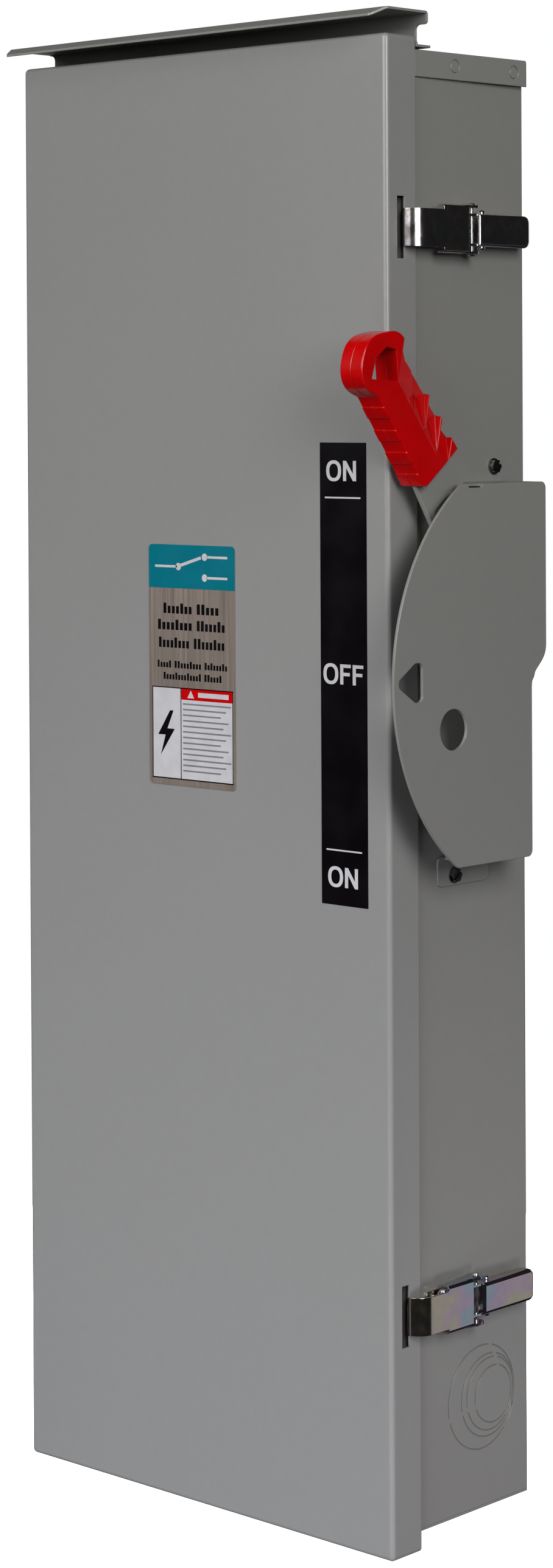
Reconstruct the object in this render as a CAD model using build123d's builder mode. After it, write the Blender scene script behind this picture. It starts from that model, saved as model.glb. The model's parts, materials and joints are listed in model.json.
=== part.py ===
"""Manual double-throw transfer switch in a wall-mounted sheet steel enclosure.

Millimetres. X is to the right, -Y is the door side, +Y goes into the wall, +Z is up.
The origin is the centre of the four wall bolts, on the back of the box.
"""
import os
from math import cos, radians, sin, sqrt

from build123d import *

os.makedirs("parts", exist_ok=True)

# Sheet metal and clearances
T = 1.5
GAP = 0.3
RUN = 0.05

# Box
BOX_X = 152.0
BOX_DEPTH = 112.5
BOX_TOP = 438.5
BOX_BOTTOM = -437.0
RETURN_LIP = 12.0
WALL_BOLT_DX = 180.0
WALL_BOLT_DZ = 800.0
WALL_BOLT_R = 4.4
CAP_FRONT = 103.2
CAP_DROP = 14.5
CAP_FLARE = 2.3

# Rain hood
HOOD_TOP = 460.4
HOOD_LEFT = -159.8
HOOD_RIGHT = 162.0
HOOD_TILT = 0.25
NECK_LEFT = -155.4
NECK_RIGHT = 153.3
SHELF_FRONT = -138.0
LIP_FRONT = -147.0
LIP_DROP = 4.4

# Door
DOOR_LEFT = -156.2
DOOR_RIGHT = 154.0
DOOR_TOP = 448.0
DOOR_BOTTOM = -450.0
DOOR_FRONT = 130.0
DOOR_BACK = 104.0
DOOR_R = 3.0
SLOT_Y = -117.3
SLOT_W = 6.7
SLOT_H = 36.7

# Door hinge
HINGE_X = -159.9
HINGE_Y = -103.5
KNUCKLE_R = 3.4
PIN_R = 1.6
HINGE_Z = (-330.0, 0.0, 330.0)
HINGE_LEN = 64.0
DOOR_KNUCKLE = 24.0

# Operating shaft and handle
AXIS_Y = -21.7
AXIS_Z = 69.5
THROW = 53.0
SHAFT_R = 8.0
SHAFT_END_R = 5.0
ARM_X = 166.0
ARM_T = 3.0
GRIP_MID = 167.5
GRIP_HALF = 8.5

# Handle guard
GUARD_X = 182.5
GUARD_T = 1.9
GUARD_R = 136.5
GUARD_TOP = 183.5
GUARD_BOTTOM = -41.4
PADLOCK_HOLE = ((-132.8, 81.0), (-139.5, 81.0), (-157.3, 69.5), (-139.5, 58.0), (-132.8, 58.0))

# Latches: name and height of each centre line
LATCHES = (("upper", 334.5), ("lower", -307.3))
LATCH_PIN_Y = -88.0
LATCH_PIN_X = 158.0
LATCH_PIN_R = 1.75
STRAP_PIN_Y = -60.0
STRAP_PIN_X = 160.0
STRAP_PIN_R = 1.6
STRAP_OUT = 164.4
STRAP_W = 22.4
STRAP_BOX_W = 29.0
STRAP_BOX_FRONT = -90.0
STRAP_BOX_BACK = -67.0
STRAP_EAR_R = 4.8
LEVER_W = 19.4
LEVER_TOP = 164.6
LEVER_DEPTH = 6.6
LEVER_FRONT = -57.6
LEVER_BACK = -9.0
LEVER_SIDE_R = 2.8
LEVER_CORNER_R = 4.2
PRESSED_R = 2.3
BASE_EAR_W = 15.4

# Switch mechanism
POLES = (-65.0, 0.0, 65.0)
PAN_FRONT = -7.4
BASE_FRONT = -46.0
BLADE_R = 88.0
BLADE_W = 14.0
BLADE_T = 3.0
UPPER_BASE_Z = 195.0
LOWER_BASE_Z = 2 * AXIS_Z - UPPER_BASE_Z
LOAD_BASE_Z = -190.0
RING_DX = 22.0
RING_R = 13.9
BASE_W = 210.0


def save(builder, label):
    """Label one finished sub-part and write it to parts."""
    builder.part.label = label
    export_step(builder.part, f"parts/{label}.step")


def throw_plane(x, angle):
    """Plane across the shaft at x: local X runs out along the handle, local Z is +X."""
    a = radians(angle)
    return Plane(origin=(x, AXIS_Y, AXIS_Z), x_dir=(0, -cos(a), sin(a)), z_dir=(1, 0, 0))


# ---------------------------------------------------------------- enclosure sheet metal
KNOCKOUTS = ((-45.0, -371.0, 31.35), (-39.0, -371.0, 25.0), (-37.0, -370.6, 22.0), (-34.0, -371.4, 17.25))
GUARD_SCREWS = ((-32.2, 192.6), (-71.0, -51.3))

with BuildPart() as wrapper:
    with BuildSketch(Plane.XY.offset(BOX_BOTTOM)) as section:
        with Locations((0, -BOX_DEPTH / 2)):
            Rectangle(2 * BOX_X, BOX_DEPTH)
        fillet(section.vertices().group_by(Axis.Y)[-1], 2.5)
        with Locations((0, -BOX_DEPTH / 2)):
            Rectangle(2 * (BOX_X - T), BOX_DEPTH - 2 * T, mode=Mode.SUBTRACT)
        with Locations((0, -BOX_DEPTH)):
            Rectangle(2 * (BOX_X - RETURN_LIP), 4 * T, mode=Mode.SUBTRACT)
    extrude(amount=BOX_TOP - BOX_BOTTOM)
    # wall bolt holes
    with BuildSketch(Plane.XZ):
        with GridLocations(WALL_BOLT_DX, WALL_BOLT_DZ, 2, 2):
            Circle(WALL_BOLT_R)
    extrude(amount=2 * T, both=True, mode=Mode.SUBTRACT)
    # shaft hole and guard screw holes
    with BuildSketch(Plane.YZ.offset(BOX_X)):
        with Locations((AXIS_Y, AXIS_Z)):
            Circle(SHAFT_R + 3.0)
        with Locations(*GUARD_SCREWS):
            Circle(2.4)
    extrude(amount=-2 * T, mode=Mode.SUBTRACT)
    # concentric-style knockouts, each ring left whole at three small tabs
    for ky, kz, kr in KNOCKOUTS:
        with BuildSketch(Plane.YZ.offset(BOX_X)):
            with Locations((ky, kz)):
                Circle(kr + 0.35)
                Circle(kr - 0.35, mode=Mode.SUBTRACT)
                with PolarLocations(kr, 3, start_angle=75):
                    Rectangle(2.0, 3.0, mode=Mode.SUBTRACT)
        extrude(amount=-0.5, mode=Mode.SUBTRACT)
save(wrapper, "enclosure_wrapper")

with BuildPart() as top_cap:
    # lid plate, wider towards the back where its side flanges spring off the box
    with BuildSketch(Plane.XY.offset(BOX_TOP)) as cap_plan:
        with Locations((0, -BOX_DEPTH / 2)):
            Rectangle(2 * BOX_X, BOX_DEPTH)
        for side in (-1, 1):
            with BuildLine():
                Polyline(
                    (0, 0),
                    (side * (BOX_X + T + CAP_FLARE), 0),
                    (side * (BOX_X + T), -CAP_FRONT),
                    (0, -CAP_FRONT),
                    close=True,
                )
            make_face()
        fillet(cap_plan.vertices().group_by(Axis.Y)[-1].filter_by_position(Axis.X, BOX_X, 200.0), 2.5)
        fillet(cap_plan.vertices().group_by(Axis.Y)[-1].filter_by_position(Axis.X, -200.0, -BOX_X), 2.5)
    extrude(amount=T)
    fillet(top_cap.faces().sort_by(Axis.Z)[-1].edges(), 0.9)
    # side flanges
    with BuildSketch(Plane.XY.offset(BOX_TOP - CAP_DROP)):
        for side in (-1, 1):
            with BuildLine():
                Polyline(
                    (side * BOX_X, -CAP_FRONT),
                    (side * (BOX_X + T), -CAP_FRONT),
                    (side * (BOX_X + T + CAP_FLARE), -2.5),
                    (side * (BOX_X + T + CAP_FLARE - 0.7), -0.7),
                    (side * (BOX_X + CAP_FLARE), -0.7),
                    close=True,
                )
            make_face()
    extrude(amount=CAP_DROP)
    with BuildSketch(Plane.XY.offset(BOX_TOP - 10.0)):
        with Locations((0, -BOX_DEPTH + T / 2)):
            Rectangle(2 * (BOX_X - RETURN_LIP) - 1.0, T)
    extrude(amount=10.0)
    # round weld projections, pressed in from the flanges to the box
    for weld_y in (-67.6, -13.3):
        outer_x = BOX_X + T + CAP_FLARE * (1.0 + weld_y / CAP_FRONT)
        for side in (-1, 1):
            with BuildSketch(Plane.YZ.offset(side * (outer_x + 1.0))):
                with Locations((weld_y, 431.8)):
                    Circle(4.4)
            extrude(amount=-side * 1.45, mode=Mode.SUBTRACT)
            with BuildSketch(Plane.YZ.offset(side * BOX_X)):
                with Locations((weld_y, 431.8)):
                    Circle(3.4)
            extrude(amount=side * (outer_x - BOX_X))
save(top_cap, "top_cap")

with BuildPart() as hood:
    # shelf, sloping lip, web and foot as one bent profile
    with BuildSketch(Plane.YZ.offset(HOOD_LEFT)):
        with BuildLine():
            Polyline(
                (-CAP_FRONT + 0.2, 440.0),
                (-CAP_FRONT + 0.2, HOOD_TOP - T),
                (SHELF_FRONT + 0.3, HOOD_TOP - T),
                (LIP_FRONT, HOOD_TOP - LIP_DROP - T),
                (LIP_FRONT, HOOD_TOP - LIP_DROP),
                (SHELF_FRONT, HOOD_TOP),
                (-CAP_FRONT + 0.2 + T, HOOD_TOP),
                (-CAP_FRONT + 0.2 + T, 440.0 + T),
                (-90.0, 440.0 + T),
                (-90.0, 440.0),
                close=True,
            )
        make_face()
    extrude(amount=HOOD_RIGHT - HOOD_LEFT)
    # narrow neck below the shelf on the left, and below the flared end on the right
    with BuildSketch(Plane.XZ.offset(80.0)):
        with Locations((NECK_LEFT - 10.0, (HOOD_TOP - T + 441.0) / 2 - 0.2)):
            RectangleRounded(20.0, HOOD_TOP - T - 441.4, 3.5)
        with Locations((NECK_RIGHT + 10.0, 447.0)):
            RectangleRounded(20.0, 11.5, 3.0)
        for neck_x in (NECK_LEFT - 10.7, NECK_RIGHT + 10.7):
            with Locations((neck_x, 440.0)):
                Rectangle(20.0, 6.0)
    extrude(amount=40.0, mode=Mode.SUBTRACT)
    # lip ends cut back
    with BuildSketch(Plane.XY.offset(450.0)):
        for end_x, inward in ((HOOD_LEFT, 1), (HOOD_RIGHT, -1)):
            with BuildLine():
                Polyline(
                    (end_x, SHELF_FRONT + 1.0),
                    (end_x + inward * 6.0, LIP_FRONT - 1.0),
                    (end_x - inward * 4.0, LIP_FRONT - 1.0),
                    (end_x - inward * 4.0, SHELF_FRONT + 1.0),
                    close=True,
                )
            make_face()
    extrude(amount=15.0, mode=Mode.SUBTRACT)
    top_folds = hood.edges().filter_by(Axis.X).group_by(Axis.Z)[-1]
    fillet(top_folds.sort_by(Axis.Y)[0], 1.0)
    fillet(top_folds.sort_by(Axis.Y)[-1], 2.2)
    # rounded corners of the web's flared end and of the lip
    fillet(hood.edges().filter_by(Axis.Y).filter_by_position(Axis.X, 161.9, 162.1).sort_by(Axis.Z)[0], 2.0)
    fillet(hood.edges().filter_by(Axis.Z).group_by(Axis.Y)[0], 3.0)
# the hood rises slightly to the right, on four weld projections under its foot
hood.part = hood.part.rotate(Axis((HOOD_LEFT, 0, HOOD_TOP), (0, 1, 0)), -HOOD_TILT)
with BuildPart() as hood_projections:
    with BuildSketch(Plane.XY.offset(BOX_TOP + T)):
        with Locations((-90.0, -96.0), (-30.0, -96.0), (30.0, -96.0), (90.0, -96.0)):
            Circle(3.5)
    extrude(amount=1.6)
hood.part = hood.part + hood_projections.part
save(hood, "drip_hood")

with BuildPart() as bottom_end:
    with BuildSketch(Plane.XY.offset(BOX_BOTTOM - T)) as end_plan:
        with Locations((0, -BOX_DEPTH / 2)):
            Rectangle(2 * BOX_X, BOX_DEPTH)
        fillet(end_plan.vertices().group_by(Axis.Y)[-1], 2.5)
    extrude(amount=T)
    with BuildSketch(Plane.XY.offset(BOX_BOTTOM)):
        for side in (-1, 1):
            with Locations((side * (BOX_X - 1.5 * T), -BOX_DEPTH / 2)):
                Rectangle(T, BOX_DEPTH - 4 * T)
        with Locations((0, -BOX_DEPTH + T / 2)):
            Rectangle(2 * (BOX_X - RETURN_LIP) - 1.0, T)
    extrude(amount=CAP_DROP)
    for kx, kr in ((-80.0, 31.0), (-80.0, 22.0), (0.0, 22.0), (0.0, 17.0), (80.0, 31.0), (80.0, 22.0)):
        with BuildSketch(Plane.XY.offset(BOX_BOTTOM - T)):
            with Locations((kx, -BOX_DEPTH / 2)):
                Circle(kr + 0.35)
                Circle(kr - 0.35, mode=Mode.SUBTRACT)
                with PolarLocations(kr, 2, start_angle=20):
                    Rectangle(2.0, 3.0, mode=Mode.SUBTRACT)
        extrude(amount=0.5, mode=Mode.SUBTRACT)
save(bottom_end, "bottom_end_plate")

# ---------------------------------------------------------------- door and its hinges
DOOR_W = DOOR_RIGHT - DOOR_LEFT
DOOR_H = DOOR_TOP - DOOR_BOTTOM
DOOR_CENTRE = ((DOOR_LEFT + DOOR_RIGHT) / 2, (DOOR_TOP + DOOR_BOTTOM) / 2)

with BuildPart() as door:
    with BuildSketch(Plane.XZ.offset(DOOR_BACK)):
        with Locations(DOOR_CENTRE):
            RectangleRounded(DOOR_W, DOOR_H, DOOR_R)
    extrude(amount=DOOR_FRONT - DOOR_BACK)
    fillet(door.faces().sort_by(Axis.Y)[0].edges(), DOOR_R - 0.1)
    with BuildSketch(Plane.XZ.offset(DOOR_BACK)):
        with Locations(DOOR_CENTRE):
            RectangleRounded(DOOR_W - 2 * T, DOOR_H - 2 * T, DOOR_R - T)
    extrude(amount=DOOR_FRONT - DOOR_BACK - T, mode=Mode.SUBTRACT)
    with BuildSketch(Plane.YZ.offset(DOOR_RIGHT)):
        for _, latch_z in LATCHES:
            with Locations((SLOT_Y, latch_z)):
                Rectangle(SLOT_W, SLOT_H)
    extrude(amount=-2 * T, mode=Mode.SUBTRACT)
save(door, "door")

with BuildPart() as box_leaf:
    for hz in HINGE_Z:
        with BuildSketch(Plane.XY.offset(hz - HINGE_LEN / 2)):
            with Locations((-BOX_X - 1.0, -89.0)):
                Rectangle(2.0, 25.8)
            with Locations(((HINGE_X - BOX_X) / 2, HINGE_Y + 2.5)):
                Rectangle(-BOX_X - HINGE_X, 1.8)
            with Locations((HINGE_X, HINGE_Y)):
                Circle(KNUCKLE_R)
                Circle(PIN_R, mode=Mode.SUBTRACT)
        extrude(amount=HINGE_LEN)
        with BuildSketch(Plane.XY.offset(hz - DOOR_KNUCKLE / 2 - GAP)):
            with Locations((HINGE_X, HINGE_Y)):
                Rectangle(2 * 3.65, 2 * 3.75)
        extrude(amount=DOOR_KNUCKLE + 2 * GAP, mode=Mode.SUBTRACT)
save(box_leaf, "hinge_leaves_box")

with BuildPart() as door_leaf:
    for hz in HINGE_Z:
        with BuildSketch(Plane.XY.offset(hz - DOOR_KNUCKLE / 2)):
            with Locations((DOOR_LEFT - 1.0, -115.0)):
                Rectangle(2.0, 22.0)
            with Locations((HINGE_X, HINGE_Y)):
                Circle(KNUCKLE_R)
                Circle(PIN_R + RUN, mode=Mode.SUBTRACT)
        extrude(amount=DOOR_KNUCKLE)
        with BuildSketch(Plane.XY.offset(hz - HINGE_LEN / 2)):
            with Locations((DOOR_LEFT - 1.0, -118.0)):
                Rectangle(2.0, 16.0)
        extrude(amount=HINGE_LEN)
save(door_leaf, "hinge_leaves_door")

with BuildPart() as hinge_pins:
    for hz in HINGE_Z:
        with BuildSketch(Plane.XY.offset(hz - HINGE_LEN / 2 - 1.5)):
            with Locations((HINGE_X, HINGE_Y)):
                Circle(PIN_R)
        extrude(amount=HINGE_LEN + 3.0)
        with BuildSketch(Plane.XY.offset(hz + HINGE_LEN / 2)):
            with Locations((HINGE_X, HINGE_Y)):
                Circle(2.6)
        extrude(amount=1.8)
save(hinge_pins, "hinge_pins")

# ---------------------------------------------------------------- plates on the door
with BuildPart() as nameplate:
    with BuildSketch(Plane.XZ.offset(DOOR_FRONT)):
        with Locations((-6.5, 69.25)):
            RectangleRounded(74.0, 149.5, 3.0)
    extrude(amount=0.5)
save(nameplate, "nameplate")

with BuildPart() as band:
    with BuildSketch(Plane.XZ.offset(DOOR_FRONT + 0.5)):
        with Locations((-6.5, 130.5)):
            Rectangle(74.0, 27.0)
        with Locations((-6.5, 130.5)):
            RectangleRounded(74.0, 27.0, 3.0, mode=Mode.INTERSECT)
        with Locations((-6.5, 120.5)):
            Rectangle(74.0, 7.0)
    extrude(amount=0.12)
save(band, "colour_band")

with BuildPart() as warning:
    with BuildSketch(Plane.XZ.offset(DOOR_FRONT + 0.5)):
        with Locations((-6.15, 26.9)):
            RectangleRounded(69.7, 57.2, 1.5)
    extrude(amount=0.12)
save(warning, "warning_panel")

with BuildPart() as position_label:
    with BuildSketch(Plane.XZ.offset(DOOR_FRONT)):
        with Locations((118.95, 70.65)):
            Rectangle(36.7, 274.7)
    extrude(amount=0.2)
save(position_label, "position_label")

# ---------------------------------------------------------------- handle guard
with BuildPart() as guard:
    with BuildSketch(Plane.YZ.offset(GUARD_X - GUARD_T)) as cheek:
        top_y = AXIS_Y - sqrt(GUARD_R**2 - (GUARD_TOP - AXIS_Z) ** 2)
        bottom_y = AXIS_Y - sqrt(GUARD_R**2 - (GUARD_BOTTOM - AXIS_Z) ** 2)
        with BuildLine():
            ThreePointArc((top_y, GUARD_TOP), (AXIS_Y - GUARD_R, AXIS_Z), (bottom_y, GUARD_BOTTOM))
            Line((bottom_y, GUARD_BOTTOM), (-32.0, GUARD_BOTTOM))
            Line((-32.0, GUARD_BOTTOM), (-32.0, 60.0))
            Spline((-32.0, 60.0), (-25.0, 73.0), (-18.0, 86.0), tangents=((0, 1), (0, 1)))
            Line((-18.0, 86.0), (-18.0, GUARD_TOP))
            Line((-18.0, GUARD_TOP), (top_y, GUARD_TOP))
        make_face()
        fillet(cheek.vertices().group_by(Axis.Y)[-1], 4.0)
        fillet(cheek.vertices().group_by(Axis.Y)[0], 4.0)
        with Locations((-105.3, 40.0)):
            Circle(12.25, mode=Mode.SUBTRACT)
    extrude(amount=GUARD_T)
    # padlock hole: straight towards the shaft, rounded point towards the front
    with BuildSketch(Plane.YZ.offset(GUARD_X)) as padlock_hole:
        with BuildLine():
            Polyline(*PADLOCK_HOLE, close=True)
        make_face()
        fillet(padlock_hole.vertices(), 3.6)
    extrude(amount=-2 * GUARD_T, mode=Mode.SUBTRACT)
    # top and bottom flanges, reaching in to the box side
    with BuildSketch(Plane.XY.offset(GUARD_TOP - T)) as top_flange:
        with Locations(((BOX_X + GUARD_X - 1.0) / 2, -48.0)):
            Rectangle(GUARD_X - 1.0 - BOX_X, 51.0)
        fillet(top_flange.vertices().group_by(Axis.Y)[0], 4.0)
        # tongue along the cheek, in front of the flange
        with Locations((GUARD_X - 4.75, -80.0)):
            Rectangle(7.5, 23.0)
    extrude(amount=T)
    # bend relief between the tongue and the cheek
    with BuildSketch(Plane.YZ.offset(GUARD_X + 1.0)):
        with Locations((-84.2, GUARD_TOP)):
            RectangleRounded(13.6, 4.6, 1.8)
    extrude(amount=-4.2, mode=Mode.SUBTRACT)
    with BuildSketch(Plane.XY.offset(GUARD_BOTTOM)) as bottom_flange:
        with Locations(((BOX_X + GUARD_X - 1.0) / 2, -58.0)):
            Rectangle(GUARD_X - 1.0 - BOX_X, 44.0)
        fillet(bottom_flange.vertices().group_by(Axis.Y)[0], 4.0)
    extrude(amount=T)
    # feet on the box side
    with BuildSketch(Plane.YZ.offset(BOX_X)) as feet:
        with Locations((-48.75, (GUARD_TOP - T + 200.0) / 2)):
            RectangleRounded(49.5, 200.0 - GUARD_TOP + T, 1.5)
        with Locations((-61.8, (GUARD_BOTTOM + T - 57.4) / 2)):
            RectangleRounded(47.6, GUARD_BOTTOM + T + 57.4, 3.5)
        with Locations(*GUARD_SCREWS):
            Circle(2.4, mode=Mode.SUBTRACT)
    extrude(amount=T)
    top_bend = guard.edges().filter_by(Axis.Y).filter_by_position(Axis.Z, GUARD_TOP - 0.1, GUARD_TOP + 0.1)
    fillet(top_bend.filter_by_position(Axis.X, BOX_X + T - 0.1, BOX_X + T + 0.1), 1.6)
save(guard, "handle_guard")

with BuildPart() as guard_screws:
    for sy, sz in GUARD_SCREWS:
        with BuildSketch(Plane.YZ.offset(BOX_X + T)):
            with Locations((sy, sz)):
                RegularPolygon(4.3, 6)
        extrude(amount=3.2)
        with BuildSketch(Plane.YZ.offset(BOX_X + T)):
            with Locations((sy, sz)):
                Circle(4.9)
        extrude(amount=0.9)
        with BuildSketch(Plane.YZ.offset(BOX_X - 8.0)):
            with Locations((sy, sz)):
                Circle(2.4)
        extrude(amount=8.0 + T)
        with BuildSketch(Plane.YZ.offset(BOX_X + T + 2.0)):
            with Locations(Location((sy, sz), 35.0)):
                Rectangle(12.0, 1.3)
        extrude(amount=3.0, mode=Mode.SUBTRACT)
save(guard_screws, "guard_screws")

# ---------------------------------------------------------------- handle
# Handle outlines lie in the throw plane: first number out along the arm, second towards the front.
ARM_OUTLINE = ((40.0, -22.0), (110.0, -25.0), (153.0, -20.6), (206.0, -6.0), (206.0, 6.0), (153.0, 12.3),
               (110.0, 15.4), (40.0, 16.0))
GRIP_FOOT = 149.6
GRIP_TEETH = ((150.0, -25.0), (166.0, -24.4), (182.5, -23.8), (199.0, -23.4))
GRIP_HEAD = ((216.5, -22.2), (220.0, -24.2), (224.5, -25.8), (229.5, -26.0), (234.5, -24.6), (239.0, -20.8),
             (242.6, -14.8), (245.8, -8.3), (247.2, -1.5), (246.6, 3.6), (244.0, 8.8), (240.0, 13.8),
             (234.4, 17.6), (227.5, 18.4), (221.5, 16.0), (217.0, 13.0))
GRIP_RIDGES = ((209.5, 201.7), (192.9, 185.2), (176.8, 168.6), (160.8, 152.0))
GRIP_FRONT = 13.0
GRIP_HOLE = ((235.6, -10.2), (229.5, -15.6), (213.8, -6.1), (228.8, 11.8), (236.0, 1.8))
RIB_TOPS = ((208.2, -23.1), (191.6, -23.4), (175.1, -23.9), (158.4, -24.5))
RIB_FEET = ((213.3, -6.1), (192.5, -6.4), (175.7, -6.8), (159.2, -7.3), (149.6, -13.3))
TOOTH_LENGTH = 15.0
TOOTH_DEPTH = 0.7
RIDGE_HEIGHT = 0.6
SHOULDER_DROP = 4.6
RIB_STEP = 0.9
RIVET_R = 2.0
ARM_ROOT_R = 10.5
SEAM = 0.3

with BuildPart() as arm:
    with BuildSketch(throw_plane(ARM_X, THROW)) as arm_face:
        with BuildLine():
            Polyline(*ARM_OUTLINE, close=True)
        make_face()
        Circle(ARM_ROOT_R)
        make_hull()
        # padlock hole that lines up with the guard's at OFF
        with Locations((GUARD_R - 15.0, 0)):
            RectangleRounded(15.0, 18.0, 3.0, mode=Mode.SUBTRACT)
        Circle(SHAFT_END_R, mode=Mode.SUBTRACT)
        with Locations((165.0, 0), (195.0, 0)):
            Circle(RIVET_R, mode=Mode.SUBTRACT)
    extrude(amount=ARM_T)
    chamfer(arm.faces().sort_by(Axis.X)[-1].outer_wire().edges(), 0.4)
save(arm, "handle_arm")


def grip_back():
    """Saw teeth up the back edge of the grip, from its foot to its head."""
    points = [(GRIP_FOOT, -8.0)]
    for tooth_r, tooth_v in GRIP_TEETH:
        points.append((tooth_r, tooth_v))
        points.append((tooth_r + TOOTH_LENGTH, tooth_v + TOOTH_DEPTH))
    points.append(GRIP_HEAD[0])
    return points


def grip_front():
    """Shallow ridges down the front edge of the grip, from its head to its foot."""
    points = [GRIP_HEAD[-1]]
    for ridge_top, ridge_end in GRIP_RIDGES:
        points.append((ridge_top, GRIP_FRONT))
        points.append((ridge_top, GRIP_FRONT + RIDGE_HEIGHT))
        points.append((ridge_end, GRIP_FRONT + RIDGE_HEIGHT))
        points.append((ridge_end, GRIP_FRONT))
    points.extend(((GRIP_FOOT, 10.5), (GRIP_FOOT, -8.0)))
    return points


def shoulder_cut(index):
    """Plane and outline of one sloping facet between two ribs on the grip's back shoulder."""
    grip = throw_plane(GRIP_MID, THROW)
    foot_r, foot_v = RIB_FEET[index + 1]
    top_r, top_v = RIB_TOPS[index]
    next_r, next_v = RIB_FEET[index]
    foot = grip.from_local_coords((foot_r, foot_v, GRIP_HALF))
    top = grip.from_local_coords((top_r, top_v, GRIP_HALF - SHOULDER_DROP))
    far = grip.from_local_coords((next_r, next_v, GRIP_HALF - RIB_STEP))
    along = (top - foot) * 1.6
    facet = Plane(origin=foot, x_dir=along, z_dir=(far - foot).cross(along))
    if facet.z_dir.X < 0:
        facet = Plane(origin=foot, x_dir=along, z_dir=along.cross(far - foot))
    corners = [facet.to_local_coords(p) for p in (foot, foot + along, far + along, far)]
    return facet, [(c.X, c.Y) for c in corners]


with BuildPart() as grip_outer:
    with BuildSketch(throw_plane(GRIP_MID, THROW)):
        with BuildLine():
            Polyline(*grip_back())
            Spline(*GRIP_HEAD)
            Polyline(*grip_front())
        make_face()
        with BuildLine():
            Polyline(*GRIP_HOLE, close=True)
        make_face(mode=Mode.SUBTRACT)
    extrude(amount=GRIP_HALF)
    chamfer(grip_outer.faces().sort_by(Axis.X)[-1].outer_wire().edges(), 0.5)
    chamfer(grip_outer.faces().sort_by(Axis.X)[0].outer_wire().edges(), SEAM)
    # sloping shoulder along the back edge, one facet to each rib
    for rib in range(len(RIB_TOPS)):
        facet, corners = shoulder_cut(rib)
        with BuildSketch(facet):
            with BuildLine():
                Polyline(*corners, close=True)
            make_face()
        extrude(amount=8.0, mode=Mode.SUBTRACT)
    # pocket for half the arm's thickness
    with BuildSketch(throw_plane(GRIP_MID, THROW)):
        with BuildLine():
            Polyline(*ARM_OUTLINE, close=True)
        make_face()
    extrude(amount=ARM_T / 2, mode=Mode.SUBTRACT)
    with BuildSketch(throw_plane(GRIP_MID, THROW)):
        with Locations((165.0, 0), (195.0, 0)):
            Circle(RIVET_R)
    extrude(amount=5.0, mode=Mode.SUBTRACT)
save(grip_outer, "grip_outer_half")

with BuildPart() as grip_inner:
    add(mirror(grip_outer.part, about=Plane.YZ.offset(GRIP_MID)))
save(grip_inner, "grip_inner_half")

with BuildPart() as grip_rivets:
    with BuildSketch(throw_plane(GRIP_MID - 5.0, THROW)):
        with Locations((165.0, 0), (195.0, 0)):
            Circle(RIVET_R)
    extrude(amount=10.0)
save(grip_rivets, "grip_rivets")

with BuildPart() as shaft:
    with BuildSketch(throw_plane(-126.0, THROW)):
        Circle(SHAFT_R)
    extrude(amount=ARM_X + 126.0)
    with BuildSketch(throw_plane(ARM_X, THROW)):
        Circle(SHAFT_END_R)
    extrude(amount=ARM_T)
    with BuildSketch(throw_plane(BOX_X + 4.5, THROW)):
        Circle(SHAFT_R + 4.0)
    extrude(amount=ARM_X - BOX_X - 4.5)
save(shaft, "operating_shaft")

with BuildPart() as hub_rivet:
    with BuildSketch(throw_plane(ARM_X + ARM_T, THROW)):
        Circle(SHAFT_END_R + 1.5)
    extrude(amount=1.8)
    chamfer(hub_rivet.faces().sort_by(Axis.X)[-1].outer_wire().edges(), 0.9)
save(hub_rivet, "hub_rivet")

with BuildPart() as bush:
    with BuildSketch(Plane.YZ.offset(BOX_X - T - 5.0)):
        with Locations((AXIS_Y, AXIS_Z)):
            Circle(SHAFT_R + 3.0)
            Circle(SHAFT_R + RUN, mode=Mode.SUBTRACT)
    extrude(amount=T + 7.0)
    with BuildSketch(Plane.YZ.offset(BOX_X)):
        with Locations((AXIS_Y, AXIS_Z)):
            Circle(SHAFT_R + 6.0)
            Circle(SHAFT_R + 2.5, mode=Mode.SUBTRACT)
    extrude(amount=2.0)
save(bush, "shaft_bush")

# ---------------------------------------------------------------- latches
STRAP_IN = STRAP_OUT - T


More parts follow.
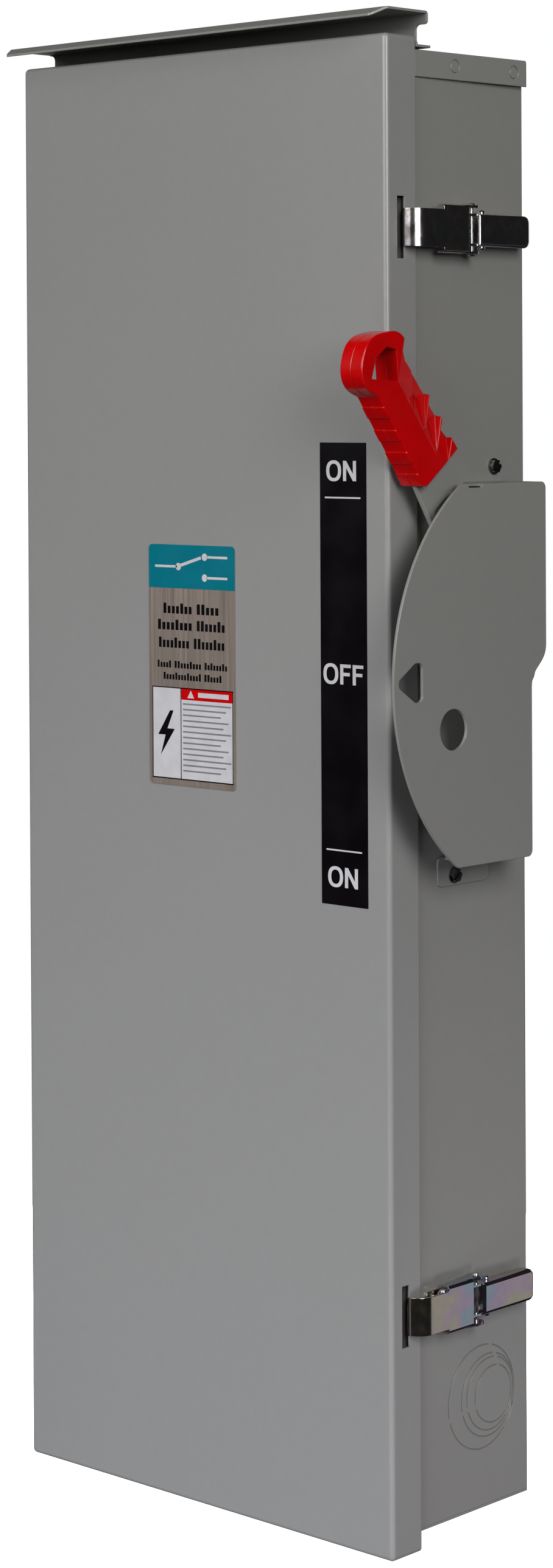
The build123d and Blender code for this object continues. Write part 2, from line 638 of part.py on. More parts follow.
for name, latch_z in LATCHES:
    with BuildPart() as latch_base:
        with BuildSketch(Plane.YZ.offset(BOX_X)):
            with Locations((-73.0, latch_z)):
                RectangleRounded(50.0, 21.0, 3.0)
        extrude(amount=T)
        # two ears that carry the lever pin
        for side in (-1, 1):
            ear_z = latch_z + side * BASE_EAR_W / 2 - (T if side > 0 else 0)
            with BuildSketch(Plane.XY.offset(ear_z)):
                with BuildLine():
                    Polyline((BOX_X + 0.2, -94.0), (BOX_X + 5.0, -92.0), (BOX_X + 4.5, -72.0),
                             (BOX_X + 0.2, -60.0), close=True)
                make_face()
                with Locations((LATCH_PIN_X, LATCH_PIN_Y)):
                    Circle(LATCH_PIN_R + 1.6)
                make_hull()
                with Locations((LATCH_PIN_X, LATCH_PIN_Y)):
                    Circle(LATCH_PIN_R, mode=Mode.SUBTRACT)
            extrude(amount=T)
    save(latch_base, f"latch_base_{name}")

    with BuildPart() as latch_pin:
        with BuildSketch(Plane.XY.offset(latch_z - LEVER_W / 2 - 0.2)):
            with Locations((LATCH_PIN_X, LATCH_PIN_Y)):
                Circle(LATCH_PIN_R)
        extrude(amount=LEVER_W + 0.4)
        for side in (-1, 1):
            head_z = latch_z + side * (LEVER_W / 2 + 0.2)
            with BuildSketch(Plane(origin=(LATCH_PIN_X, LATCH_PIN_Y, head_z), z_dir=(0, 0, side))):
                Circle(LATCH_PIN_R + 1.0)
            extrude(amount=1.2, taper=30)
    save(latch_pin, f"latch_pin_{name}")

    with BuildPart() as lever:
        # handle: a pressed tray, open towards the box and at its front end
        with BuildSketch(Plane.YZ.offset(LEVER_TOP - LEVER_DEPTH)) as tray:
            with Locations(((LEVER_FRONT + LEVER_BACK) / 2, latch_z)):
                Rectangle(LEVER_BACK - LEVER_FRONT, LEVER_W)
            fillet(tray.vertices().group_by(Axis.X)[-1], LEVER_CORNER_R)
        extrude(amount=LEVER_DEPTH)
        fillet(lever.faces().sort_by(Axis.X)[-1].outer_wire().edges(), PRESSED_R)
        with BuildSketch(Plane.YZ.offset(LEVER_TOP - LEVER_DEPTH)) as pocket:
            with Locations(((LEVER_FRONT + LEVER_BACK) / 2 - T, latch_z)):
                Rectangle(LEVER_BACK - LEVER_FRONT, LEVER_W - 2 * T)
            fillet(pocket.vertices().group_by(Axis.X)[-1], LEVER_CORNER_R - T)
        extrude(amount=LEVER_DEPTH - T, mode=Mode.SUBTRACT)
        # side plates that run forward under the strap to the base pin
        for side in (-1, 1):
            plate_z = latch_z + side * LEVER_W / 2 - (T if side > 0 else 0)
            with BuildSketch(Plane.XY.offset(plate_z)):
                with Locations((LATCH_PIN_X, LATCH_PIN_Y)):
                    Circle(LATCH_PIN_R + 1.7)
                with Locations((STRAP_PIN_X, STRAP_PIN_Y)):
                    Circle(LEVER_SIDE_R)
                with Locations((STRAP_PIN_X + 0.4, LEVER_FRONT + 8.0)):
                    Circle(LEVER_SIDE_R - 0.6)
                make_hull()
                with Locations((LATCH_PIN_X, LATCH_PIN_Y)):
                    Circle(LATCH_PIN_R + RUN, mode=Mode.SUBTRACT)
                with Locations((STRAP_PIN_X, STRAP_PIN_Y)):
                    Circle(STRAP_PIN_R, mode=Mode.SUBTRACT)
            extrude(amount=T)
        # rivet heads standing out of the side plates behind the strap's ears
        for side in (-1, 1):
            head = (STRAP_PIN_X - 1.0, LEVER_FRONT + 8.0, latch_z + side * LEVER_W / 2)
            with BuildSketch(Plane(origin=head, z_dir=(0, 0, side))):
                Circle(2.4)
            extrude(amount=2.6)
            fillet(lever.faces().sort_by(Axis.Z)[-1 if side > 0 else 0].edges(), 1.8)
    save(lever, f"latch_lever_{name}")

    with BuildPart() as strap:
        # back part: a channel with rounded sides
        with BuildSketch(Plane.YZ.offset(STRAP_OUT - LEVER_DEPTH + 1.2)):
            with Locations(((STRAP_BOX_FRONT + STRAP_BOX_BACK) / 2, latch_z)):
                Rectangle(STRAP_BOX_BACK - STRAP_BOX_FRONT, STRAP_BOX_W)
        extrude(amount=LEVER_DEPTH - 1.2)
        fillet(strap.faces().sort_by(Axis.X)[-1].edges().filter_by(Axis.Y), PRESSED_R)
        with BuildSketch(Plane.YZ.offset(STRAP_OUT - LEVER_DEPTH)):
            with Locations(((STRAP_BOX_FRONT + STRAP_BOX_BACK) / 2, latch_z)):
                Rectangle(STRAP_BOX_BACK - STRAP_BOX_FRONT + 2.0, STRAP_BOX_W - 2 * T)
        extrude(amount=LEVER_DEPTH - T, mode=Mode.SUBTRACT)
        # ears round the strap pin
        for side in (-1, 1):
            ear_z = latch_z + side * STRAP_BOX_W / 2 - (T if side > 0 else 0)
            with BuildSketch(Plane.XY.offset(ear_z)):
                with BuildLine():
                    Polyline((STRAP_OUT - 2.6, -70.0), (STRAP_OUT - 2.6, -76.0), (STRAP_OUT - 5.2, -76.0),
                             (STRAP_OUT - 5.2, -70.0), close=True)
                make_face()
                with Locations((STRAP_PIN_X, STRAP_PIN_Y)):
                    Circle(STRAP_EAR_R)
                make_hull()
                with Locations((STRAP_PIN_X, STRAP_PIN_Y)):
                    Circle(STRAP_PIN_R + RUN, mode=Mode.SUBTRACT)
            extrude(amount=T)
        # front part: flat, then curving in to end over the door's slot
        with BuildSketch(Plane.XY.offset(latch_z - STRAP_W / 2)):
            with BuildLine():
                Line((STRAP_OUT, STRAP_BOX_FRONT + 2.0), (STRAP_OUT, -104.5))
                Line((STRAP_IN, STRAP_BOX_FRONT + 2.0), (STRAP_OUT, STRAP_BOX_FRONT + 2.0))
                Line((STRAP_IN, STRAP_BOX_FRONT + 2.0), (STRAP_IN, -104.5))
                Spline((STRAP_OUT, -104.5), (161.6, -112.3), (154.5, -116.0),
                       tangents=((0, -1), (-1, -0.12)))
                Spline((STRAP_IN, -104.5), (160.4, -111.3), (154.5, -114.5),
                       tangents=((0, -1), (-1, -0.12)))
                Line((154.5, -116.0), (154.5, -114.5))
            make_face()
        extrude(amount=STRAP_W)
    save(strap, f"latch_strap_{name}")

    with BuildPart() as strap_pin:
        pin_half = STRAP_BOX_W / 2 + 0.3
        with BuildSketch(Plane.XY.offset(latch_z - pin_half)):
            with Locations((STRAP_PIN_X, STRAP_PIN_Y)):
                Circle(STRAP_PIN_R)
        extrude(amount=2 * pin_half)
        for side in (-1, 1):
            head = (STRAP_PIN_X, STRAP_PIN_Y, latch_z + side * pin_half)
            with BuildSketch(Plane(origin=head, z_dir=(0, 0, side))):
                Circle(STRAP_PIN_R + 0.9)
            extrude(amount=1.1, taper=30)
    save(strap_pin, f"strap_pin_{name}")

# ---------------------------------------------------------------- mounting pan and bases
with BuildPart() as pan:
    with BuildSketch(Plane.XZ.offset(-PAN_FRONT - 1.9)):
        with Locations((0, 25.0)):
            Rectangle(236.0, 520.0)
        with Locations((0, 25.0)):
            with GridLocations(216.0, 500.0, 2, 2):
                Circle(2.5, mode=Mode.SUBTRACT)
    extrude(amount=1.9)
    for side in (-1, 1):
        with BuildSketch(Plane.XZ.offset(T)):
            with Locations((side * (118.0 - 1.9 / 2), 25.0)):
                Rectangle(1.9, 520.0)
        extrude(amount=-PAN_FRONT - 1.9 - T)
save(pan, "mounting_pan")

with BuildPart() as pan_screws:
    with BuildSketch(Plane.XZ.offset(T)):
        with Locations((0, 25.0)):
            with GridLocations(216.0, 500.0, 2, 2):
                Circle(2.5)
    extrude(amount=-PAN_FRONT - T)
    with BuildSketch(Plane.XZ.offset(-PAN_FRONT)):
        with Locations((0, 25.0)):
            with GridLocations(216.0, 500.0, 2, 2):
                RegularPolygon(5.2, 6)
    extrude(amount=3.2)
    with BuildSketch(Plane.XZ.offset(-PAN_FRONT + 2.2)):
        with Locations((0, 25.0)):
            with GridLocations(216.0, 500.0, 2, 2):
                Rectangle(12.0, 1.3)
    extrude(amount=2.0, mode=Mode.SUBTRACT)
save(pan_screws, "pan_screws")

BASES = (("upper_line_base", UPPER_BASE_Z, 100.0), ("lower_line_base", LOWER_BASE_Z, 100.0),
         ("load_base", LOAD_BASE_Z, 56.0))

for name, base_z, base_h in BASES:
    with BuildPart() as base:
        with BuildSketch(Plane.XZ.offset(-PAN_FRONT)):
            with Locations((0, base_z)):
                RectangleRounded(BASE_W, base_h, 3.0)
        extrude(amount=PAN_FRONT - BASE_FRONT)
        # lightening pockets between the poles, open to the front
        with BuildSketch(Plane.XZ.offset(-BASE_FRONT)):
            for pocket_x in (-32.5, 32.5):
                with Locations((pocket_x, base_z)):
                    RectangleRounded(14.0, base_h - 16.0, 2.0)
        extrude(amount=-22.0, mode=Mode.SUBTRACT)
        chamfer(base.faces().sort_by(Axis.Y)[0].outer_wire().edges(), 1.0)
    save(base, name)

# ---------------------------------------------------------------- rotor and blades
with BuildPart() as rotor:
    with BuildSketch(throw_plane(-112.0, THROW)):
        Circle(13.0)
        Circle(SHAFT_R, mode=Mode.SUBTRACT)
    extrude(amount=224.0)
    for pole in POLES:
        with BuildSketch(throw_plane(pole - 8.0, THROW)):
            with Locations((19.0, 0)):
                Rectangle(22.0, 18.0)
            Circle(SHAFT_R, mode=Mode.SUBTRACT)
        extrude(amount=16.0)
        with BuildSketch(throw_plane(pole - BLADE_T / 2, THROW)):
            with Locations((24.0, 0)):
                Rectangle(20.0, BLADE_W)
        extrude(amount=BLADE_T, mode=Mode.SUBTRACT)
save(rotor, "rotor_crossbar")

with BuildPart() as blades:
    for pole in POLES:
        with BuildSketch(throw_plane(pole - BLADE_T / 2, THROW)) as blade:
            with Locations((14.0 + (BLADE_R - 14.0) / 2, 0)):
                Rectangle(BLADE_R - 14.0, BLADE_W)
            fillet(blade.vertices(), 1.0)
        extrude(amount=BLADE_T)
save(blades, "moving_blades")

with BuildPart() as rings:
    for pole in POLES:
        with BuildSketch(throw_plane(pole + RING_DX - 5.0, THROW)):
            Circle(RING_R)
            Circle(13.0, mode=Mode.SUBTRACT)
        extrude(amount=10.0)
save(rings, "contact_rings")

with BuildPart() as bearing:
    with BuildSketch(Plane.YZ.offset(-121.0)):
        with BuildLine():
            Polyline((PAN_FRONT, 44.0), (-28.0, 52.0), (-36.0, 62.0), (-36.0, 77.0), (-28.0, 87.0),
                     (PAN_FRONT, 95.0), close=True)
        make_face()
        with Locations((AXIS_Y, AXIS_Z)):
            Circle(SHAFT_R + RUN, mode=Mode.SUBTRACT)
    extrude(amount=3.0)
    with BuildSketch(Plane.XZ.offset(-PAN_FRONT)):
        for foot_z in (42.0, 97.0):
            with Locations((-112.0, foot_z)):
                Rectangle(12.0, 14.0)
    extrude(amount=2.5)
    with BuildSketch(Plane.XZ.offset(-PAN_FRONT)):
        with Locations((-119.5, AXIS_Z)):
            Rectangle(3.0, 69.0)
    extrude(amount=2.5)
save(bearing, "shaft_bearing_bracket")

# ---------------------------------------------------------------- fixed contacts and terminals
CONTACTS = (("upper", THROW, UPPER_BASE_Z), ("lower", -THROW, LOWER_BASE_Z))

for name, angle, base_z in CONTACTS:
    outer = 1 if angle > 0 else -1
    with BuildPart() as jaws:
        for pole in POLES:
            # two spring leaves beside the blade and the web that joins them
            for side in (-1, 1):
                leaf_x = pole + side * (BLADE_T / 2 + GAP) - (0 if side > 0 else 1.6)
                with BuildSketch(throw_plane(leaf_x, angle)):
                    with Locations((77.0, -outer * 5.5)):
                        Rectangle(24.0, 27.0)
                extrude(amount=1.6)
            with BuildSketch(throw_plane(pole - BLADE_T / 2 - GAP - 1.6, angle)):
                with Locations((77.0, -outer * 18.2)):
                    Rectangle(24.0, 1.6)
            extrude(amount=BLADE_T + 2 * GAP + 3.2)
            # foot lying on the line strap
            with BuildSketch(Plane.XZ.offset(-BASE_FRONT + 3.0)):
                with Locations((pole, AXIS_Z + outer * 82.5)):
                    Rectangle(14.0, 27.0)
            extrude(amount=1.6)
    save(jaws, f"line_jaws_{name}")

    with BuildPart() as tails:
        near = AXIS_Z + outer * 72.0
        far = base_z + outer * 42.0
        with BuildSketch(Plane.XZ.offset(-BASE_FRONT)):
            for pole in POLES:
                with Locations((pole, (near + far) / 2)):
                    Rectangle(14.0, abs(far - near))
        extrude(amount=3.0)
    save(tails, f"line_straps_{name}")

with BuildPart() as load_straps:
    for pole in POLES:
        with BuildSketch(Plane.XZ.offset(-BASE_FRONT)):
            with Locations((pole + RING_DX, -82.0)):
                Rectangle(10.0, 260.0)
        extrude(amount=3.0)
        with BuildSketch(Plane.XY.offset(45.0)):
            with Locations((pole + RING_DX, (BASE_FRONT - 3.0 + AXIS_Y + 1.5) / 2)):
                Rectangle(10.0, AXIS_Y + 1.5 - BASE_FRONT + 3.0)
        extrude(amount=3.0)
        with BuildSketch(Plane.XY.offset(45.0)):
            with Locations((pole + RING_DX, AXIS_Y)):
                Rectangle(10.0, 3.0)
        extrude(amount=AXIS_Z - RING_R - 0.4 - 45.0)
save(load_straps, "load_straps")

LUG_SETS = (("upper_line_lugs", UPPER_BASE_Z + 32.0, 0.0), ("lower_line_lugs", LOWER_BASE_Z - 32.0, 0.0),
            ("load_lugs", LOAD_BASE_Z - 10.0, RING_DX))
LUG_FRONT = BASE_FRONT - 3.0

for name, lug_z, lug_dx in LUG_SETS:
    with BuildPart() as lugs:
        with BuildSketch(Plane.XZ.offset(-LUG_FRONT)):
            for pole in POLES:
                with Locations((pole + lug_dx, lug_z)):
                    RectangleRounded(17.0, 22.0, 1.5)
        extrude(amount=20.0)
        # wire holes run up and down, set screw holes open to the front
        with BuildSketch(Plane.XY.offset(lug_z - 11.0)):
            for pole in POLES:
                with Locations((pole + lug_dx, LUG_FRONT - 8.5)):
                    Circle(5.6)
        extrude(amount=22.0, mode=Mode.SUBTRACT)
        with BuildSketch(Plane.XZ.offset(-LUG_FRONT + 8.5)):
            for pole in POLES:
                with Locations((pole + lug_dx, lug_z)):
                    Circle(5.0)
        extrude(amount=12.0, mode=Mode.SUBTRACT)
    save(lugs, name)

with BuildPart() as lug_screws:
    for _, lug_z, lug_dx in LUG_SETS:
        for pole in POLES:
            with BuildSketch(Plane.XZ.offset(-LUG_FRONT + 14.5)):
                with Locations((pole + lug_dx, lug_z)):
                    Circle(5.0)
                    Rectangle(1.4, 12.0, mode=Mode.SUBTRACT)
            extrude(amount=4.5)
            with BuildSketch(Plane.XZ.offset(-LUG_FRONT + 13.0)):
                with Locations((pole + lug_dx, lug_z)):
                    Circle(5.0)
            extrude(amount=2.0)
save(lug_screws, "lug_screws")

for name, angle, base_z in CONTACTS:
    outer = 1 if angle > 0 else -1
    with BuildPart() as chutes:
        for pole in POLES:
            for side in (-1, 1):
                with BuildSketch(throw_plane(pole + side * 9.2 - 1.0, angle)):
                    with BuildLine():
                        Polyline(
                            (62.0, outer * 24.0),
                            (96.0, outer * 24.0),
                            (96.0, outer * -41.8),
                            (80.0, outer * -29.8),
                            (78.0, outer * -21.0),
                            (62.0, outer * -21.0),
                            close=True,
                        )
                    make_face()
                extrude(amount=2.0)
            with BuildSketch(throw_plane(pole - 9.2, angle)):
                with Locations((95.0, outer * 4.0)):
                    Rectangle(2.0, 40.0)
            extrude(amount=18.4)
    save(chutes, f"arc_chutes_{name}")

    with BuildPart() as plates:
        for pole in POLES:
            for step in (11.0, 15.5, 20.0):
                with BuildSketch(throw_plane(pole - 8.2, angle)):
                    with Locations((82.0, outer * step)):
                        Rectangle(24.0, 1.2)
                extrude(amount=16.4)
                with BuildSketch(throw_plane(pole - 3.8, angle)):
                    with Locations((79.0, outer * step)):
                        Rectangle(25.0, 2.0)
                extrude(amount=7.6, mode=Mode.SUBTRACT)
    save(plates, f"arc_plates_{name}")

    with BuildPart() as barriers:
        for barrier_x in (-32.5, 32.5):
            with BuildSketch(Plane.YZ.offset(barrier_x - 0.8)) as sheet:
                with Locations((-62.0, base_z)):
                    Rectangle(76.0, 80.0)
                fillet(sheet.vertices().group_by(Axis.X)[0], 6.0)
            extrude(amount=1.6)
    save(barriers, f"phase_barriers_{name}")

with BuildPart() as base_screws:
    for _, base_z, base_h in BASES:
        for screw_x in (6.0 - BASE_W / 2, BASE_W / 2 - 6.0):
            for screw_dz in (-base_h / 2 + 10.0, base_h / 2 - 10.0):
                with BuildSketch(Plane.XZ.offset(-BASE_FRONT)):
                    with Locations((screw_x, base_z + screw_dz)):
                        Circle(4.4)
                extrude(amount=3.0)
                with BuildSketch(Plane.XZ.offset(-BASE_FRONT + 1.6)):
                    with Locations((screw_x, base_z + screw_dz)):
                        Rectangle(10.0, 1.2)
                extrude(amount=2.0, mode=Mode.SUBTRACT)
save(base_screws, "base_screws")

with BuildPart() as ground_bar:
    with BuildSketch(Plane.XZ.offset(T)):
        with Locations((-50.0, -330.0)):
            Rectangle(96.0, 14.0)
    extrude(amount=12.0)
    # wire holes run up and down between the screws
    with BuildSketch(Plane.XY.offset(-337.0)):
        with Locations((-50.0, -T - 5.0)):
            with GridLocations(18.0, 1.0, 5, 1):
                Circle(2.8)
    extrude(amount=14.0, mode=Mode.SUBTRACT)
save(ground_bar, "ground_bar")

with BuildPart() as ground_screws:
    with BuildSketch(Plane.XZ.offset(T + 12.0)):
        with Locations((-50.0, -330.0)):
            with GridLocations(18.0, 1.0, 5, 1):
                Circle(4.0)
    extrude(amount=3.0)
    with BuildSketch(Plane.XZ.offset(T + 13.8)):
        with Locations((-50.0, -330.0)):
            with GridLocations(18.0, 1.0, 5, 1):
                Rectangle(1.2, 10.0)
    extrude(amount=2.0, mode=Mode.SUBTRACT)
save(ground_screws, "ground_screws")
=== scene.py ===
"""Looks of the double-throw transfer switch: materials, printed marks, lights, floor and camera."""
import json
import math

import bmesh
import bpy
from mathutils import Matrix, Vector


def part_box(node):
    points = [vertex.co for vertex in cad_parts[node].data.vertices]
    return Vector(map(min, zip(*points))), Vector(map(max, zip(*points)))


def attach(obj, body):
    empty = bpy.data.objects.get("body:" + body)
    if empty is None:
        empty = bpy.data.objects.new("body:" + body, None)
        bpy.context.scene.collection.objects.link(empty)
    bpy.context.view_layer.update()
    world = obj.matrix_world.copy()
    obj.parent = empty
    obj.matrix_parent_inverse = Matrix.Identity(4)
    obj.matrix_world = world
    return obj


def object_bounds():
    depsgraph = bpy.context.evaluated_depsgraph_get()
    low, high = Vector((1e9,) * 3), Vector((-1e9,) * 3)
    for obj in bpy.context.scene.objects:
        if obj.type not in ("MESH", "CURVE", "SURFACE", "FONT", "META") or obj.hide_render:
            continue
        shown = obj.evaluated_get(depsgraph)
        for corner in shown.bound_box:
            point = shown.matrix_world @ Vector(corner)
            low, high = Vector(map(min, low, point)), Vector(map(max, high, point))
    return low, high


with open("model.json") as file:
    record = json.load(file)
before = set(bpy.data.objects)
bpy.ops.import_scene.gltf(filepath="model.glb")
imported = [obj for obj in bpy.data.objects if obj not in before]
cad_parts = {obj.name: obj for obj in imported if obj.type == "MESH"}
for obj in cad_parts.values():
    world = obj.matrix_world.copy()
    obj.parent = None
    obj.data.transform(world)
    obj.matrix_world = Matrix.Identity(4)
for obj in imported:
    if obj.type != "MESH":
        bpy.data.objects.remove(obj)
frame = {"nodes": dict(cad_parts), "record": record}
cad_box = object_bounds()
NODES = frame["nodes"]
MM = 0.001

# ---------------------------------------------------------------- material building

# A Mix node's sockets when it mixes colours: factor, A, B, and the result
MIX_COLOUR_INPUTS = (0, 6, 7)
MIX_COLOUR_OUTPUT = 2
# The middle part of a noise value's range, where nearly all of it lies
NOISE_LOW = 0.3
NOISE_HIGH = 0.7
# Depth of the fine surface grain, in metres
GRAIN_DEPTH = 0.0002
PEEL_DEPTH = 0.0003
WHITE = (1.0, 1.0, 1.0)
BLACK = (0.0, 0.0, 0.0)


class Graph:
    """One procedural material, patterned in the object's own metres."""

    def __init__(self, name):
        self.material = bpy.data.materials.new(name)
        self.material.use_nodes = True
        self.tree = self.material.node_tree
        self.shader = self.tree.nodes["Principled BSDF"]
        self.place = self.add("ShaderNodeTexCoord").outputs["Object"]

    def add(self, kind, **settings):
        """A node of that kind, with its properties set."""
        made = self.tree.nodes.new(kind)
        for key, value in settings.items():
            setattr(made, key, value)
        return made

    def link(self, output, socket):
        self.tree.links.new(output, socket)

    def set(self, **values):
        """Uniform values, straight on the shader's sockets."""
        for key, value in values.items():
            self.shader.inputs[key.replace("_", " ")].default_value = value

    def noise(self, scale, detail=3.0, stretch=(1, 1, 1), distortion=0.0):
        """Noise from 0 to 1; stretch is how fine it is along X, Y and Z."""
        squeeze = self.add("ShaderNodeMapping")
        squeeze.inputs["Scale"].default_value = stretch
        self.link(self.place, squeeze.inputs["Vector"])
        made = self.add("ShaderNodeTexNoise")
        made.inputs["Scale"].default_value = scale
        made.inputs["Detail"].default_value = detail
        made.inputs["Distortion"].default_value = distortion
        self.link(squeeze.outputs["Vector"], made.inputs["Vector"])
        return made.outputs["Fac"]

    def ramp(self, value, *stops):
        """Colours along a value; each stop is (position, colour)."""
        made = self.add("ShaderNodeValToRGB")
        points = made.color_ramp.elements
        for i, (position, colour) in enumerate(stops):
            point = points[i] if i < 2 else points.new(position)
            point.position = position
            point.color = (*colour, 1.0)
        self.link(value, made.inputs["Fac"])
        return made.outputs["Color"]

    def scaled(self, value, low, high):
        """A noise value spread over low to high."""
        made = self.add("ShaderNodeMapRange")
        made.inputs["From Min"].default_value = NOISE_LOW
        made.inputs["From Max"].default_value = NOISE_HIGH
        made.inputs["To Min"].default_value = low
        made.inputs["To Max"].default_value = high
        made.interpolation_type = "SMOOTHSTEP"
        self.link(value, made.inputs["Value"])
        return made.outputs["Result"]

    def mixed(self, factor, colour_a, colour_b):
        """Two colours or outputs mixed; factor is an output or a number."""
        made = self.add("ShaderNodeMix", data_type="RGBA")
        sockets = [made.inputs[i] for i in MIX_COLOUR_INPUTS]
        for value, socket in zip((factor, colour_a, colour_b), sockets):
            if isinstance(value, bpy.types.NodeSocket):
                self.link(value, socket)
            elif isinstance(value, (int, float)):
                socket.default_value = value
            else:
                socket.default_value = (*value, 1.0)
        return made.outputs[MIX_COLOUR_OUTPUT]

    def round_edges(self, radius_mm):
        """Normal that is rounded near the piece's edges, so that they catch the light."""
        made = self.add("ShaderNodeBevel", samples=6)
        made.inputs["Radius"].default_value = radius_mm * MM
        return made.outputs["Normal"]

    def bump(self, height, strength, distance, under=None):
        """A bump laid over another one."""
        made = self.add("ShaderNodeBump")
        made.inputs["Strength"].default_value = strength
        made.inputs["Distance"].default_value = distance
        self.link(height, made.inputs["Height"])
        if under is not None:
            self.link(under, made.inputs["Normal"])
        return made.outputs["Normal"]

    def finish(self, colour, roughness, normal=None):
        """The material, with its colour, roughness and surface normal joined on."""
        self.link(colour, self.shader.inputs["Base Color"])
        self.link(roughness, self.shader.inputs["Roughness"])
        if normal is not None:
            self.link(normal, self.shader.inputs["Normal"])
        return self.material


def shade(colour, factor):
    """A lighter or darker shade of a colour."""
    return tuple(channel * factor for channel in colour)


def paint(name, colour):
    """Baked enamel on sheet steel: faint cloudiness, orange peel, a few dust nibs."""
    g = Graph(name)
    g.set(Specular_IOR_Level=0.75)
    clouds = g.ramp(g.noise(3.5, 4.0), (0.25, shade(colour, 0.98)), (0.75, shade(colour, 1.02)))
    mottled = g.mixed(g.scaled(g.noise(160.0, 5.0), 0.0, 0.10), clouds, shade(colour, 1.2))
    nibs = g.add("ShaderNodeTexVoronoi")
    nibs.inputs["Scale"].default_value = 45.0
    g.link(g.place, nibs.inputs["Vector"])
    near_nib = g.ramp(nibs.outputs["Distance"], (0.01, WHITE), (0.03, BLACK))
    speckled = g.mixed(g.mixed(0.9, near_nib, BLACK), mottled, shade(colour, 0.8))
    peel = g.bump(g.noise(620.0, 2.0), 0.10, PEEL_DEPTH, g.round_edges(0.7))
    return g.finish(speckled, g.scaled(g.noise(240.0, 3.0), 0.28, 0.34), peel)


def plastic(name, colour, rough, grain, coat=0.0, edge_mm=0.4):
    """Moulded plastic: slight colour drift, fine moulding grain."""
    g = Graph(name)
    g.set(Coat_Weight=coat, Coat_Roughness=0.15)
    drift = g.ramp(g.noise(30.0, 3.0), (0.35, shade(colour, 0.92)), (0.65, shade(colour, 1.06)))
    grain_bump = g.bump(g.noise(1400.0, 2.0), grain, GRAIN_DEPTH, g.round_edges(edge_mm))
    return g.finish(drift, g.scaled(g.noise(55.0, 4.0), *rough), grain_bump)


def plated(name, tint_amount):
    """Bright zinc plate with a thin chromate film that shifts from straw to pink and blue."""
    g = Graph(name)
    g.set(Metallic=1.0)
    # straw, pink, violet and blue
    film = g.ramp(
        g.noise(24.0, 2.0, (1.0, 1.0, 1.6), 1.2),
        (0.36, (0.72, 0.66, 0.50)),
        (0.46, (0.74, 0.56, 0.66)),
        (0.54, (0.66, 0.54, 0.74)),
        (0.62, (0.50, 0.62, 0.74)),
    )
    colour = g.mixed(tint_amount, (0.70, 0.69, 0.67), film)
    grain = g.bump(g.noise(900.0, 3.0), 0.05, GRAIN_DEPTH, g.round_edges(0.35))
    return g.finish(colour, g.scaled(g.noise(180.0, 4.0), 0.13, 0.19), grain)


def metal(name, colour, rough, streak=(1, 1, 1), metallic=1.0):
    """Plain or brushed metal; streak sets how fine the brushing is along each axis."""
    g = Graph(name)
    g.set(Metallic=metallic)
    lines = g.noise(220.0, 6.0, streak)
    tone = g.ramp(lines, (0.30, shade(colour, 0.80)), (0.70, shade(colour, 1.18)))
    stained = g.mixed(g.scaled(g.noise(18.0, 3.0), 0.0, 0.35), tone, shade(colour, 0.72))
    return g.finish(stained, g.scaled(lines, *rough), g.bump(lines, 0.12, GRAIN_DEPTH))


def printed(name, colour, rough=(0.3, 0.42), shine=0.5):
    """Screen-printed ink or label film: nearly even, with a faint mesh and wear."""
    g = Graph(name)
    g.set(Specular_IOR_Level=shine)
    worn = g.ramp(g.noise(85.0, 6.0), (0.30, shade(colour, 0.93)), (0.62, shade(colour, 1.04)))
    mesh_bump = g.bump(g.noise(900.0, 2.0), 0.03, GRAIN_DEPTH)
    return g.finish(worn, g.scaled(g.noise(40.0, 4.0), *rough), mesh_bump)


# Both greys are one enamel. The door's is the box's grey made about a tenth lighter and slightly
# cooler: painted light on the door front, which faces the key light.
DOOR_GREY_PAINTED_LIGHTER = (0.259, 0.257, 0.250)
BOX_GREY = (0.234, 0.232, 0.220)

MATERIALS = {
    "enclosure_paint": paint("EnclosurePaint", BOX_GREY),
    # The door's enamel in the lightened grey: painted light on its lit front.
    "door_paint": paint("DoorPaint", DOOR_GREY_PAINTED_LIGHTER),
    "arm_paint": paint("ArmPaint", BOX_GREY),
    "grip_red": plastic("GripRed", (0.54, 0.0, 0.001), (0.20, 0.28), 0.04, coat=0.2, edge_mm=0.9),
    "nameplate_metal": metal(
        "NameplateMetal", (0.36, 0.30, 0.255), (0.36, 0.5), streak=(4.0, 1.0, 0.05), metallic=0.55
    ),
    "band_teal": printed("BandTeal", (0.0, 0.15, 0.20), shine=0.3),
    "panel_white": printed("PanelWhite", (0.54, 0.53, 0.545)),
    "label_black": printed("LabelBlack", (0.0018, 0.0010, 0.0021), (0.30, 0.4), shine=0.25),
    "zinc": plated("ZincPlate", 0.35),
    "plated_pin": metal("PlatedPin", (0.60, 0.59, 0.56), (0.18, 0.3)),
    "dark_screw": metal("DarkScrew", (0.30, 0.30, 0.30), (0.12, 0.25)),
    "steel": metal("Steel", (0.50, 0.50, 0.50), (0.28, 0.42)),
    "bronze": metal("Bronze", (0.50, 0.36, 0.18), (0.3, 0.45)),
    "insulator": plastic("Insulator", (0.085, 0.030, 0.018), (0.35, 0.5), 0.08),
    "copper": metal("Copper", (0.72, 0.38, 0.22), (0.2, 0.36), (1.0, 1.0, 0.2)),
    "alu_lug": metal("LugAluminium", (0.66, 0.66, 0.67), (0.28, 0.42), (1.0, 0.2, 1.0)),
    "fibre": printed("VulcanisedFibre", (0.065, 0.060, 0.052), (0.6, 0.75)),
    "arc_steel": metal("ArcPlateSteel", (0.34, 0.34, 0.35), (0.35, 0.5)),
    "small_print": printed("SmallPrint", (0.20, 0.20, 0.21)),
}

for part in frame["record"]["subparts"]:
    mesh = NODES[part["node"]].data
    mesh.materials.clear()
    mesh.materials.append(MATERIALS[part["material_slot"]])

# The lower latch has the stronger chromate film
strong_film = plated("ChromateStrap", 0.85)
for node_name in ("latch_strap_lower", "latch_lever_lower"):
    NODES[node_name].data.materials[0] = strong_film


# ---------------------------------------------------------------- flat printed marks

